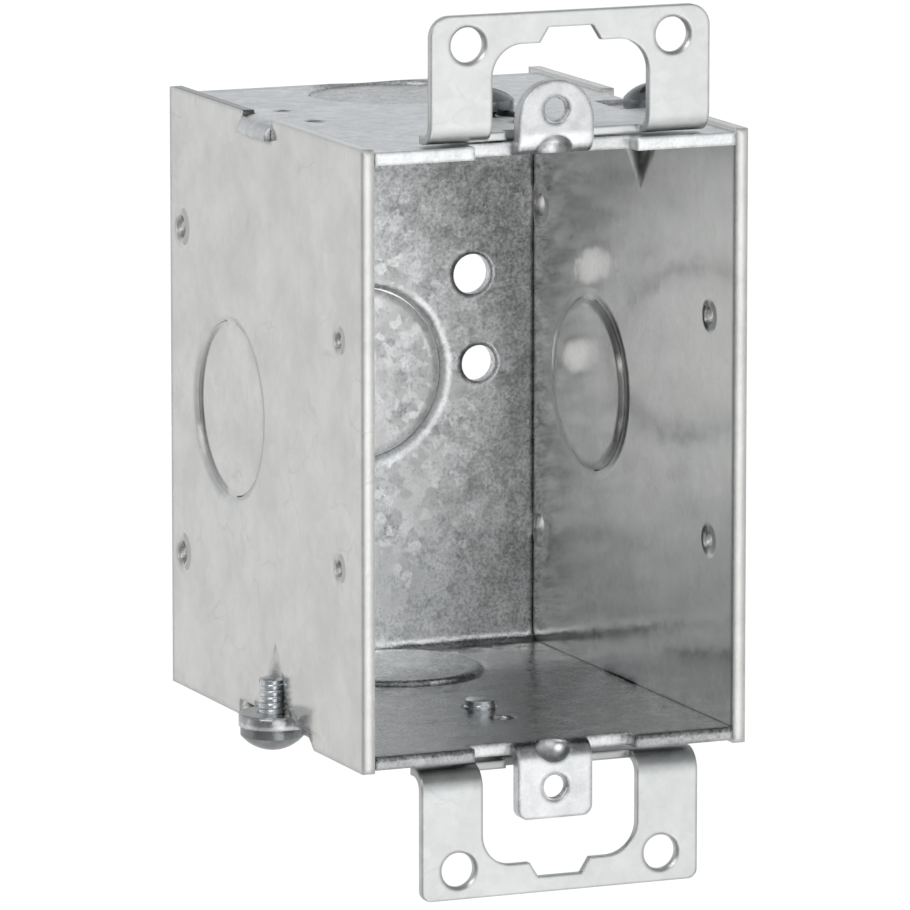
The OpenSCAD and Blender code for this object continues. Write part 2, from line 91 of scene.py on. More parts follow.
# %% [markdown]
# ## Small helpers for materials
# A colour picked from a picture is an sRGB value, but shaders work in linear light. One function
# turns the hex value into linear light, so that every colour in the file can be read as a hex.
# Nodes could be added one statement at a time. One function that adds a node, sets its options
# and fills or links its sockets keeps each material short enough to read.

# %% Colour and node helpers
MATH = "ShaderNodeMath"
VECTOR = "ShaderNodeVectorMath"
RANGE = "ShaderNodeMapRange"
NOISE = "ShaderNodeTexNoise"
SPLIT = "ShaderNodeSeparateXYZ"
MIX = "ShaderNodeMix"
SOFT = {"interpolation_type": "SMOOTHSTEP"}


def linear(hex_colour):
    """Turns an sRGB hex value such as "c8c8c5" to linear light, with alpha 1."""
    levels = [int(hex_colour[i:i + 2], 16) / 255 for i in (0, 2, 4)]
    return tuple(v / 12.92 if v <= 0.04045 else ((v + 0.055) / 1.055) ** 2.4 for v in levels) + (1.0,)


def add(tree, kind, inputs=(), **options):
    """Adds one node. Its inputs are a list in the order of the sockets, or go by name. Each is
    a value, a socket to link from, or a node, whose first live output is linked."""
    made = tree.nodes.new(kind)
    for name, value in options.items():
        setattr(made, name, value)
    for name, value in inputs.items() if isinstance(inputs, dict) else enumerate(inputs):
        if isinstance(value, bpy.types.Node):
            value = next(socket for socket in value.outputs if socket.enabled)
        if isinstance(value, bpy.types.NodeSocket):
            tree.links.new(value, made.inputs[name])
        else:
            made.inputs[name].default_value = value
    return made


def new_material(name):
    """An empty material without any node, and its tree."""
    material = bpy.data.materials.new(name)
    material.use_nodes = True
    material.node_tree.nodes.clear()
    return material, material.node_tree


print("zinc grey is", [round(v, 3) for v in linear("c8c8c5")], "in linear light")

# %% [markdown]
# ## The room that the metal mirrors
# The picture has a plain white ground with no horizon and no shadow, as when a thing stands on a
# light table. Bare metal shows what is around it, so the tone of the room matters more than any
# lamp. The picture tells that tone: the inside of the box, which mirrors the front left, is dark,
# the ears, which mirror what is straight in front of them, are nearly white, and all that faces
# up is a little darker. Black cards and a white one could stand in the scene for this, but then
# they would show in other views. Here the room itself is darker or brighter by direction, and
# only for reflections: what the camera sees directly stays plain white.

# %% How bright the room is in each direction
DARK_SIDE = (-0.82, -0.57, 0.0)
BRIGHT_SIDE = (0.14, -0.99, 0.0)
# Each row: the side, where its change starts and is full as a cosine, and the level there
FLOOR_LEVELS = [(DARK_SIDE, 0.6, 0.9, 0.33), (BRIGHT_SIDE, 0.88, 0.98, 1.7)]
SKY_LEVELS = [(DARK_SIDE, 0.6, 0.9, 0.32), (BRIGHT_SIDE, 0.88, 0.98, 1.2)]
FLOOR_PLAIN, SKY_PLAIN, CEILING = 0.82, 0.8, 0.34
WHITE_GROUND = 1.04


def room_strength(tree, direction, plain, levels):
    """Brightness of the room: a plain level, and another one towards each named side."""
    strength = plain
    flat = add(tree, VECTOR, [direction, (1.0, 1.0, 0.0)], operation="MULTIPLY")
    compass = add(tree, VECTOR, [flat], operation="NORMALIZE")
    for side, start, full, level in levels:
        cosine = add(tree, VECTOR, [compass, side], operation="DOT_PRODUCT")
        mask = add(tree, RANGE, [cosine, start, full], **SOFT)
        strength = add(tree, MIX, {"Factor": mask, "A": strength, "B": level}, data_type="FLOAT")
    return strength


def white_to_the_camera(tree, strength):
    """The camera sees plain white, and only reflections meet the uneven room."""
    seen = add(tree, "ShaderNodeLightPath").outputs["Is Camera Ray"]
    return add(tree, MIX, {"Factor": seen, "A": strength, "B": WHITE_GROUND}, data_type="FLOAT")


print("room:", len(FLOOR_LEVELS), "sides of the floor and", len(SKY_LEVELS), "of the sky differ")

# %% [markdown]
# A lit matt floor would turn grey towards the edges of the picture. This one glows by itself, as
# a light table does, and lies well below the box, so that no contact shadow shows.

# %% Floor
FLOOR_DEPTH = 300 * MM
FLOOR_WIDTH = 40

bpy.ops.object.select_all(action="DESELECT")
bpy.ops.mesh.primitive_plane_add(size=FLOOR_WIDTH, location=(0, 0, -FLOOR_DEPTH))
floor = bpy.context.object
floor.name = "floor"
bpy.ops.object.transform_apply(location=True)
floor_paint, tree = new_material("floor_white")
spot = add(tree, "ShaderNodeTexCoord").outputs["Object"]
chalk = add(tree, NOISE, {"Vector": spot, "Scale": 3.0, "Detail": 2.0})
chalk_tone = add(tree, MIX, {"Factor": chalk, "A": linear("fdfdfd"), "B": linear("ffffff")},
                 data_type="RGBA")
strength = white_to_the_camera(tree, room_strength(tree, spot, FLOOR_PLAIN, FLOOR_LEVELS))
glow = add(tree, "ShaderNodeEmission", {"Color": chalk_tone, "Strength": strength})
add(tree, "ShaderNodeOutputMaterial", {"Surface": glow})
floor.data.materials.append(floor_paint)
print("floor at z", -FLOOR_DEPTH, "m")

# %% Sky
sky = bpy.data.worlds.new("studio")
bpy.context.scene.world = sky
sky.use_nodes = True
tree = sky.node_tree
tree.nodes.clear()
view = add(tree, "ShaderNodeTexCoord").outputs["Generated"]
rise = add(tree, SPLIT, [view]).outputs["Z"]
overhead = add(tree, RANGE, [rise, 0.3, 0.7], **SOFT)
around = room_strength(tree, view, SKY_PLAIN, SKY_LEVELS)
strength = add(tree, MIX, {"Factor": overhead, "A": around, "B": CEILING}, data_type="FLOAT")
strength = white_to_the_camera(tree, strength)
glow = add(tree, "ShaderNodeBackground", {"Color": linear("fbfdff"), "Strength": strength})
add(tree, "ShaderNodeOutputWorld", {"Surface": glow})
bpy.context.scene.view_settings.view_transform = "Standard"
print("sky", SKY_PLAIN, "and ceiling", CEILING)

# %% [markdown]
# ## Soft light
# A softbox is a large panel of light. It gives the screws and the rounded edges a soft bright
# spot, which the even sky alone would not. A point light would draw hard shadows, which the
# picture doesn't have.

# %% Softbox
SOFTBOX_SIZE = 0.9
SOFTBOX_WATTS = 8
SOFTBOX_SPOT = Vector((-0.9, -0.9, 1.0))

panel = bpy.data.lights.new("softbox_left", "AREA")
panel.size = SOFTBOX_SIZE
panel.energy = SOFTBOX_WATTS
softbox = bpy.data.objects.new("softbox_left", panel)
bpy.context.scene.collection.objects.link(softbox)
softbox.location = SOFTBOX_SPOT
softbox.rotation_euler = (SOFTBOX_SPOT - AIM).to_track_quat("Z", "Y").to_euler()
print(softbox.name, "of", SOFTBOX_WATTS, "W")

# %% [markdown]
# ## The screws
# A real machine screw is cold headed: a blank is struck into a die, which gives the domed head,
# then the slot is cut and the thread is rolled between two flat dies. A screw could be one turned
# outline with a bump map for its thread, but the thread stands free in the notch of the side
# plate, so it is a real ridge here. The head starts as a round disc whose top is inset and
# raised ring by ring along the arc of the dome. The slot is cut by a bar, and all edges are
# rounded a little, as plating leaves them.

# %% Selecting before an operator
HEAD_SIDE = 1.2 * MM
SLOT_WIDTH = 1.2 * MM
SLOT_DEPTH = 1.1 * MM
DOME_RINGS = 7
EDGE_ROUND = 0.3 * MM


def start_clean():
    """An operator acts on all that is selected, so everything is deselected first."""
    if bpy.context.object and bpy.context.object.mode != "OBJECT":
        bpy.ops.object.mode_set(mode="OBJECT")
    bpy.ops.object.select_all(action="DESELECT")


def pick_faces(piece, wanted):
    """Selects the faces for which wanted(face) is true. The piece is in edit mode."""
    shape = bmesh.from_edit_mesh(piece.data)
    bpy.ops.mesh.select_all(action="DESELECT")
    for face in shape.faces:
        face.select_set(wanted(face))
    bmesh.update_edit_mesh(piece.data)


print("dome in", DOME_RINGS, "rings, slot", SLOT_WIDTH / MM, "mm wide")

# %% The domed and slotted head


def screw_head(name, radius, height):
    """Domed head with its slot along X, its underside at z = 0."""
    start_clean()
    bpy.ops.mesh.primitive_cylinder_add(vertices=72, radius=radius, depth=HEAD_SIDE,
                                        location=(0, 0, HEAD_SIDE / 2))
    head = bpy.context.object
    head.name = name
    bpy.ops.object.transform_apply(location=True)
    bpy.ops.object.mode_set(mode="EDIT")
    pick_faces(head, lambda face: face.normal.z > 0.9)
    dome = height - HEAD_SIDE
    dome_radius = (radius ** 2 + dome ** 2) / (2 * dome)
    rise_so_far = 0
    for ring in range(1, DOME_RINGS + 1):
        reach = radius * (1 - ring / (DOME_RINGS + 1))
        rise = math.sqrt(dome_radius ** 2 - reach ** 2) - (dome_radius - dome)
        bpy.ops.mesh.inset(thickness=radius / (DOME_RINGS + 1))
        bpy.ops.transform.translate(value=(0, 0, rise - rise_so_far))
        rise_so_far = rise
    bpy.ops.object.mode_set(mode="OBJECT")
    cut_slot(head, radius, height)
    soften = head.modifiers.new("plated_edge", "BEVEL")
    soften.width = EDGE_ROUND
    soften.segments = 3
    soften.limit_method = "ANGLE"
    soften.angle_limit = math.radians(40)
    bpy.ops.object.modifier_apply(modifier=soften.name)
    bpy.ops.object.shade_smooth_by_angle(angle=math.radians(35))
    return head


def cut_slot(head, radius, height):
    """Cuts the screwdriver slot across the top, with a bar that reaches past the head."""
    start_clean()
    bpy.ops.mesh.primitive_cube_add(size=1, location=(0, 0, height - SLOT_DEPTH / 2 + height / 2),
                                    scale=(3 * radius, SLOT_WIDTH, SLOT_DEPTH + height))
    bar = bpy.context.object
    bpy.ops.object.transform_apply(location=True, scale=True)
    start_clean()
    head.select_set(True)
    bpy.context.view_layer.objects.active = head
    cut = head.modifiers.new("slot", "BOOLEAN")
    cut.operation = "DIFFERENCE"
    cut.object = bar
    cut.solver = "EXACT"
    bpy.ops.object.modifier_apply(modifier=cut.name)
    bpy.data.objects.remove(bar, do_unlink=True)


print("head side", HEAD_SIDE / MM, "mm high, edges rounded by", EDGE_ROUND / MM, "mm")

# %% [markdown]
# ## The rolled thread
# A thread is one small profile that climbs around the shank. The Screw modifier sweeps exactly
# that. Its positive turn and positive rise give a right-handed thread, which closes clockwise.
# The profile is a closed outline with a wide flat crest, as a rolled and plated thread has, and
# the two open ends are filled. The zinc fills the root a little, so the thread is shallow.

# %% Thread ridge
THREAD_PITCH = 0.8 * MM
THREAD_DEPTH = 0.15 * MM
RIDGE_HALF = 0.47 * THREAD_PITCH
CREST_HALF = 0.25 * THREAD_PITCH
STEPS_A_TURN = 28


def thread_ridge(name, root, crest, low, high):
    """Closed ridge around Z from low to high, from the root radius to the crest radius."""
    start_clean()
    turns = (high - low) / THREAD_PITCH - 1
    bpy.ops.mesh.primitive_plane_add(size=1)
    ridge = bpy.context.object
    ridge.name = name
    sunk = root - math.copysign(0.05 * MM, crest - root)
    outline = [(sunk, -RIDGE_HALF), (crest, -CREST_HALF), (crest, CREST_HALF), (sunk, RIDGE_HALF)]
    shape = bmesh.new()
    corners = [shape.verts.new((x, 0, low + RIDGE_HALF + z)) for x, z in outline]
    for first, second in zip(corners, corners[1:] + corners[:1]):
        shape.edges.new((first, second))
    shape.to_mesh(ridge.data)
    shape.free()
    sweep = ridge.modifiers.new("sweep", "SCREW")
    sweep.axis = "Z"
    sweep.angle = 2 * math.pi * turns
    sweep.screw_offset = THREAD_PITCH * turns
    sweep.steps = int(STEPS_A_TURN * turns)
    sweep.render_steps = sweep.steps
    sweep.use_merge_vertices = False
    bpy.ops.object.modifier_apply(modifier=sweep.name)
    close_ends(ridge)
    bpy.ops.object.shade_smooth_by_angle(angle=math.radians(25))
    return ridge


def close_ends(ridge):
    """Fills the two open ends of a swept ridge and turns its faces outwards."""
    bpy.ops.object.mode_set(mode="EDIT")
    bpy.ops.mesh.select_all(action="DESELECT")
    shape = bmesh.from_edit_mesh(ridge.data)
    for edge in shape.edges:
        if edge.is_boundary:
            edge.select_set(True)
    bmesh.update_edit_mesh(ridge.data)
    bpy.ops.mesh.edge_face_add()
    bpy.ops.mesh.select_all(action="SELECT")
    bpy.ops.mesh.normals_make_consistent(inside=False)
    bpy.ops.object.mode_set(mode="OBJECT")


print("thread pitch", THREAD_PITCH / MM, "mm, depth", THREAD_DEPTH / MM, "mm")

# %% Shank
SHANK_IN_HEAD = 0.2 * MM
TIP_CHAMFER = (0.4 * MM, 0.2 * MM)


def screw_shank(name, crest, length):
    """Core of the shank, from just inside the head down to a chamfered tip."""
    start_clean()
    bpy.ops.mesh.primitive_cylinder_add(vertices=48, radius=crest - THREAD_DEPTH, depth=length,
                                        location=(0, 0, SHANK_IN_HEAD - length / 2))
    shank = bpy.context.object
    shank.name = name
    bpy.ops.object.transform_apply(location=True)
    bpy.ops.object.mode_set(mode="EDIT")
    pick_faces(shank, lambda face: face.normal.z < -0.9)
    bpy.ops.mesh.inset(thickness=TIP_CHAMFER[0])
    bpy.ops.transform.translate(value=(0, 0, -TIP_CHAMFER[1]))
    bpy.ops.object.mode_set(mode="OBJECT")
    bpy.ops.object.shade_smooth_by_angle(angle=math.radians(30))
    return shank


print("tip chamfer", [round(v / MM, 1) for v in TIP_CHAMFER], "mm")

# %% [markdown]
# ## Four screws in their places
# The two ganging screws stand in the threaded ears of the body, and the two clamp screws hold
# the plaster ears. Each takes its sizes from the box of the solid that it replaces. The lower
# screws are turned over about the depth axis and not mirrored, so their threads stay
# right-handed.

# %% Build and place the screws
SCREWS = {
    # solid: body it rides, height of its head, radius of its crest, turn of its slot, upside down
    "ganging_screw_right": ("gang_screw_right", 3.1 * MM, 1.7 * MM, 35, False),
    "ganging_screw_left": ("gang_screw_left", 3.1 * MM, 1.7 * MM, 35, True),
    "ear_screw_top": ("clamp_screw_top", 2.6 * MM, 2.0 * MM, -20, False),
    "ear_screw_bottom": ("clamp_screw_bottom", 2.6 * MM, 2.0 * MM, 20, True),
}
HAIR = 0.01 * MM
THREAD_TUCK = 0.1 * MM

screws = []
for solid, (ridden, head_height, crest, slot_turn, flipped) in SCREWS.items():
    low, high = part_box(solid)
    radius = (high.x - low.x) / 2
    length = high.z - low.z - head_height
    head = screw_head(solid.replace("_screw", "_screw_turned"), radius - HAIR, head_height)
    shank = screw_shank("shank", crest, length)
    ridge = thread_ridge("ridge", crest - THREAD_DEPTH, crest - HAIR,
                         THREAD_TUCK - length, THREAD_TUCK)
    start_clean()
    for part in (shank, ridge, head):
        part.select_set(True)
    bpy.context.view_layer.objects.active = head
    bpy.ops.object.join()
    seat = low.z + head_height if flipped else high.z - head_height
    stand = Matrix.Translation(((low.x + high.x) / 2, (low.y + high.y) / 2, seat))
    turned_over = Matrix.Rotation(math.pi if flipped else 0, 4, "Y")
    head.data.transform(stand @ turned_over @ Matrix.Rotation(math.radians(slot_turn), 4, "Z"))
    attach(head, ridden)
    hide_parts(solid)
    screws.append(head)
    print(head.name, "radius", round(radius / MM, 2), "mm, shank", round(length / MM, 2), "mm,",
          len(head.data.polygons), "faces")

# %% [markdown]
# ## Tapped holes in the device tabs
# The two tabs take the screws of a switch, so their holes are tapped. A tap cuts a groove, and
# what shows is the ridge that is left between its turns. The same ridge as on the screws is made
# with its crest pointing inwards, and laid along the depth of the sheet. What stands past either
# face of the sheet is cut away flush.

# %% Thread in the tab holes
TAB_HOLE_Z = 83.34 / 2 * MM
TAB_HOLE_RADIUS = 1.75 * MM
TAB_THREAD_DEPTH = 0.28 * MM
SHEET = 1.6 * MM
OVERRUN = 0.35 * MM
FLUSH = 0.04 * MM

tab_threads = []
for name, height in (("tab_thread_upper", TAB_HOLE_Z), ("tab_thread_lower", -TAB_HOLE_Z)):
    ridge = thread_ridge(name, TAB_HOLE_RADIUS, TAB_HOLE_RADIUS - TAB_THREAD_DEPTH,
                         -OVERRUN, SHEET + OVERRUN)
    start_clean()
    ridge.select_set(True)
    bpy.context.view_layer.objects.active = ridge
    bpy.ops.object.mode_set(mode="EDIT")
    for cut_height, is_upper in ((FLUSH, False), (SHEET - FLUSH, True)):
        bpy.ops.mesh.select_all(action="SELECT")
        bpy.ops.mesh.bisect(plane_co=(0, 0, cut_height), plane_no=(0, 0, 1), use_fill=True,
                            clear_inner=not is_upper, clear_outer=is_upper)
    bpy.ops.object.mode_set(mode="OBJECT")
    ridge.data.transform(Matrix.Translation((0, 0, height)) @ Matrix.Rotation(math.radians(-90), 4, "X"))
    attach(ridge, "box")
    tab_threads.append(ridge)
    print(name, len(ridge.data.polygons), "faces")

# %% [markdown]
# ## Marks that the press leaves
# A punch drags the sheet down with it before it breaks through, so the sheet dips towards a
# punched hole and along the sheared line of a knockout. These dips are a fraction of a
# millimetre deep. They could be modelled, but a height in the material bends the reflections in
# the same way and leaves the solids alone. All heights are in metres, and the places are those
# of the solids.

# %% Rims and rings
ALONG_X = (0, 1, 1)
ALONG_Y = (1, 0, 1)
ALONG_Z = (1, 1, 0)
# Centre, radius, how far the dip reaches and how deep it is, all in mm
REAR_NAIL_RIM = ((0, 59.7, 20.8), 1.3, 1.7, 0.55)
FRONT_NAIL_RIM = ((0, 7.5, 14), 0.9, 1.4, 0.45)
PLATE_FURROW = ((0, 43.8, 0), 11.1, 1.5, 0.2)
BACK_FURROW = ((0, 0, 0), 11.2, 1.4, 0.13)
WALL_FURROW = ((0, 50.2, 0), 11.1, 1.2, 0.16)
UPPER_BACK_RIM = ((15.3, 0, 12), 2.3, 0.9, 0.2)
LOWER_BACK_RIM = ((16.2, 0, 0.4), 2.1, 0.9, 0.2)
# Where the marks of the back and of the top and bottom walls start to count
AT_BACK = (57 * MM, 59 * MM)
ON_WALLS = (33 * MM, 35 * MM)


def away_from(tree, spot, axis, centre):
    """Distance in metres from an axis through the centre, which is given in mm."""
    flat = add(tree, VECTOR, [spot, axis], operation="MULTIPLY")
    return add(tree, VECTOR, [flat, tuple(v * MM for v in centre)], operation="DISTANCE")


def rolled_rim(tree, spot, axis, centre, radius, reach, depth):
    """Sheet that dips towards a punched hole, over a band outside its edge."""
    away = away_from(tree, spot, axis, centre)
    return add(tree, RANGE, [away, radius * MM, (radius + reach) * MM, -depth * MM, 0.0], **SOFT)


def sheared_ring(tree, spot, axis, centre, radius, reach, depth):
    """Shallow furrow along the round shear line of a knockout."""
    away = away_from(tree, spot, axis, centre)
    from_line = add(tree, MATH, [away, radius * MM], operation="SUBTRACT")
    either_way = add(tree, MATH, [from_line], operation="ABSOLUTE")
    return add(tree, RANGE, [either_way, 0.0, reach * MM, -depth * MM, 0.0], **SOFT)


def plate_marks(tree, spot):
    """A side plate: rims of its four nail holes and the furrow round its knockout."""
    mirrored = add(tree, VECTOR, [spot], operation="ABSOLUTE")
    rear = rolled_rim(tree, mirrored, ALONG_X, *REAR_NAIL_RIM)
    front = rolled_rim(tree, mirrored, ALONG_X, *FRONT_NAIL_RIM)
    furrow = sheared_ring(tree, mirrored, ALONG_X, *PLATE_FURROW)
    rims = add(tree, MATH, [rear, front], operation="ADD")
    return add(tree, MATH, [rims, furrow], operation="ADD")


def folded_marks(tree, spot):
    """The folded sheet: furrows round its knockouts and soft rims of the two back holes."""
    place = add(tree, SPLIT, [spot])
    at_back = add(tree, RANGE, [place.outputs["Y"], *AT_BACK], **SOFT)
    height = add(tree, MATH, [place.outputs["Z"]], operation="ABSOLUTE")
    on_walls = add(tree, RANGE, [height, *ON_WALLS], **SOFT)
    back_furrow = sheared_ring(tree, spot, ALONG_Y, *BACK_FURROW)
    wall_furrow = sheared_ring(tree, spot, ALONG_Z, *WALL_FURROW)
    upper_rim = rolled_rim(tree, spot, ALONG_Y, *UPPER_BACK_RIM)
    lower_rim = rolled_rim(tree, spot, ALONG_Y, *LOWER_BACK_RIM)
    rims = add(tree, MATH, [upper_rim, lower_rim], operation="ADD")
    back = add(tree, MATH, [rims, back_furrow], operation="ADD")
    walls = add(tree, MATH, [wall_furrow, on_walls], operation="MULTIPLY")
    return add(tree, MATH, [back, at_back, walls], operation="MULTIPLY_ADD")


print("rear nail rims reach", REAR_NAIL_RIM[2], "mm past the holes and dip", REAR_NAIL_RIM[3], "mm")

# %% [markdown]
# ## Painted light and shade in the tone of the zinc
# Light and shade are painted into the tone of the metal here. The back has a painted highlight
# round its disc and painted shade farther out. The inner face of the bottom has painted shade in
# front and a painted reflection towards the rear, and the bend between the two has a painted
# shadow in its crease and a painted highlight above it. The inner face of the bottom is also
# smoother, as under a film of press oil. The lower plaster ear has painted shade at its bend and
# is a little darker all over. The shank of a screw has a painted highlight and its head painted
# shade. The outer face of the top is a little lighter and its tab darker. Each of these is a share
# that is added to the tone of the metal.

# %% Tones of the folded sheet
# Each row: where the change starts and ends, and the level before and after, if not 0 and 1
BOTTOM_UPPER_FACE = (-35.9 * MM, -35.2 * MM, 1.0, 0.0)
BOTTOM_LOWER_FACE = (-36.9 * MM, -36.5 * MM)
# Painted shade on the front of the inner face of the bottom, a painted reflection towards its rear, and a
# painted shadow in the crease of the bend
BOTTOM_SHADE_TO_REFLECTION = (40 * MM, 52 * MM, -0.34, 0.62)
BOTTOM_CREASE_SHADOW = (59.4 * MM, 60.8 * MM, 0.0, -0.9)
# Painted highlight round the disc of the back with painted shade farther out, and a painted highlight on
# the curve of its bend
BACK_DISC_PAINTED_LIGHT = (11 * MM, 25 * MM, 0.42, -0.19)
BACK_BEND_HIGHLIGHT = (-35.2 * MM, -34 * MM, 0.25, 0.0)
BACK_FROM = (58 * MM, 60 * MM)
BACK_UP_TO = (62.4 * MM, 62.8 * MM, 1.0, 0.0)
# The outer face of the top wall is a little lighter, and its tab darker
TOP_FACE_LIGHTER = (37.2 * MM, 37.5 * MM, 0.0, 0.2)
TOP_TAB = (38.4 * MM, 39.2 * MM, 1.0, -0.5)
STRIPS_BY_HEIGHT = (-20 * MM, 20 * MM, -0.42, 0.14)
STRIPS_IN_FRONT = (0.3 * MM, 1.5 * MM, 1.0, 0.0)
STRIPS_UP_TO = (37.6 * MM, 38.2 * MM, 1.0, 0.0)
# The painted highlight is taller than wide, and its middle is a little below the disc
HIGHLIGHT_STRETCH = (1, 0, 0.6)
HIGHLIGHT_CENTRE = (-1, 0, -5)


def bottom_inner_face(tree, spot):
    """Mask of the inner face of the bottom wall: it is smoother, as under a film of press oil, and it holds
    painted shade and a painted reflection.
    """
    height = add(tree, SPLIT, [spot]).outputs["Z"]
    below = add(tree, RANGE, [height, *BOTTOM_UPPER_FACE], **SOFT)
    above = add(tree, RANGE, [height, *BOTTOM_LOWER_FACE], **SOFT)
    return add(tree, MATH, [below, above], operation="MULTIPLY")


def back_painted_light(tree, spot, place):
    """Painted highlight round the disc and on the curve of the bend, with painted shade farther out, on the
    inner face alone.
    """
    away = away_from(tree, spot, HIGHLIGHT_STRETCH, HIGHLIGHT_CENTRE)
    cloud = add(tree, RANGE, [away, *BACK_DISC_PAINTED_LIGHT], **SOFT)
    bend = add(tree, RANGE, [place.outputs["Z"], *BACK_BEND_HIGHLIGHT], **SOFT)
    tone = add(tree, MATH, [cloud, bend], operation="ADD")
    start = add(tree, RANGE, [place.outputs["Y"], *BACK_FROM], **SOFT)
    end = add(tree, RANGE, [place.outputs["Y"], *BACK_UP_TO], **SOFT)
    inner_face = add(tree, MATH, [start, end], operation="MULTIPLY")
    return add(tree, MATH, [tone, inner_face], operation="MULTIPLY")


def bottom_painted_light(tree, spot, place):
    """Painted shade in front, a painted reflection towards the rear, and a painted shadow in the crease at
    the bend.
    """
    rear = add(tree, RANGE, [place.outputs["Y"], *BOTTOM_SHADE_TO_REFLECTION], **SOFT)
    crease = add(tree, RANGE, [place.outputs["Y"], *BOTTOM_CREASE_SHADOW], **SOFT)
    tone = add(tree, MATH, [rear, crease], operation="ADD")
    return add(tree, MATH, [tone, bottom_inner_face(tree, spot)], operation="MULTIPLY")


def top_tone(tree, place):
    """The outer face of the top a little lighter, and its tab darker."""
    top_face = add(tree, RANGE, [place.outputs["Z"], *TOP_FACE_LIGHTER], **SOFT)
    tab = add(tree, RANGE, [place.outputs["Z"], *TOP_TAB], **SOFT)
    return add(tree, MATH, [top_face, tab], operation="MULTIPLY")


def strip_tone(tree, place):
    """The sheared front edges: the upper one lighter, the lower one darker."""
    by_height = add(tree, RANGE, [place.outputs["Z"], *STRIPS_BY_HEIGHT], **SOFT)
    front = add(tree, RANGE, [place.outputs["Y"], *STRIPS_IN_FRONT], **SOFT)
    height = add(tree, MATH, [place.outputs["Z"]], operation="ABSOLUTE")
    below_tabs = add(tree, RANGE, [height, *STRIPS_UP_TO], **SOFT)
    edge = add(tree, MATH, [front, below_tabs], operation="MULTIPLY")
    return add(tree, MATH, [by_height, edge], operation="MULTIPLY")


def folded_tone(tree, spot):
    """All places of the folded sheet together."""
    place = add(tree, SPLIT, [spot])
    walls = add(tree, MATH, [back_painted_light(tree, spot, place), bottom_painted_light(tree, spot, place)], operation="ADD")
    outside = add(tree, MATH, [top_tone(tree, place), strip_tone(tree, place)], operation="ADD")
    return add(tree, MATH, [walls, outside], operation="ADD")


# The painted highlight of the back reaches this far from the disc's middle
print("the back is whiter within", round(BACK_DISC_PAINTED_LIGHT[0] / MM), "mm of the disc's middle")
# The painted shade on the front of the bottom reaches this far
print("the bottom is painted_dark up to", round(BOTTOM_SHADE_TO_REFLECTION[0] / MM), "mm from the front")

# %% Tones of the lower ear and the shanks
# Painted shade at the bend of the lower ear, and the whole lower ear a little darker
EAR_BEND_SHADE = (-42 * MM, -38.4 * MM, 0.0, -0.28)
EAR_LOWER_HALF = (-37.5 * MM, 0.0, 1.0, 0.0)
EAR_DARKER = (-30 * MM, 0.0, -0.06, 0.0)
# Painted highlight on the shanks and painted shade on the heads
SHANK_HIGHLIGHT_HEAD_SHADE = (36.4 * MM, 37.3 * MM, 1.4, -0.12)


def lower_ear_tone(tree, spot):
    """Painted shade at the bend of the lower ear, and the whole lower ear a little darker."""
    height = add(tree, SPLIT, [spot]).outputs["Z"]
    bend = add(tree, RANGE, [height, *EAR_BEND_SHADE], **SOFT)
    lower = add(tree, RANGE, [height, *EAR_LOWER_HALF], **SOFT)
    darker_all_over = add(tree, RANGE, [height, *EAR_DARKER], **SOFT)
    return add(tree, MATH, [bend, lower, darker_all_over], operation="MULTIPLY_ADD")


def shank_painted_light(tree, spot):
    """Painted highlight on the shank, and painted shade on the head."""
    height = add(tree, MATH, [add(tree, SPLIT, [spot]).outputs["Z"]], operation="ABSOLUTE")
    return add(tree, RANGE, [height, *SHANK_HIGHLIGHT_HEAD_SHADE], **SOFT)


print("shanks are brighter up to", SHANK_HIGHLIGHT_HEAD_SHADE[0] / MM, "mm from the middle of the box")

# %% [markdown]
# ## Painted shadow and scuffs
# Where two sheets meet behind a hook the seam stays open, and the shadow in it is painted dark grey.
# The two lance marks beside a hook are deep and narrow, and their shadow is painted dark as well.
# Scuffs are a few thin crooked lines. They follow the borders of a bent Voronoi pattern, and a slow
# noise keeps only some of them, so they are short and lie apart.

# %% Painted shadow in seams and pockets
# Axis, start, end and soft border of the seam, in mm
SEAM_BANDS = (("X", 23.8, 25.2, 0.15), ("Y", 38.7, 62.5, 1.5))
SEAM_ON_TOP = (37.3 * MM, 37.5 * MM)
LANCE_ON_TOP = (36.6 * MM, 36.8 * MM)
# Depth at which a lance mark lies and its radius, in mm
LANCES = ((28.9, 1.0), (39.1, 0.7))
LANCE_X = 19.7
LANCE_STRETCH = (0.75, 0.42, 0)
# Darkness of the painted shadow in a lance pocket, and the share of its radius that is fully dark
LANCE_SHADOW, LANCE_CORE = 0.8, 0.35


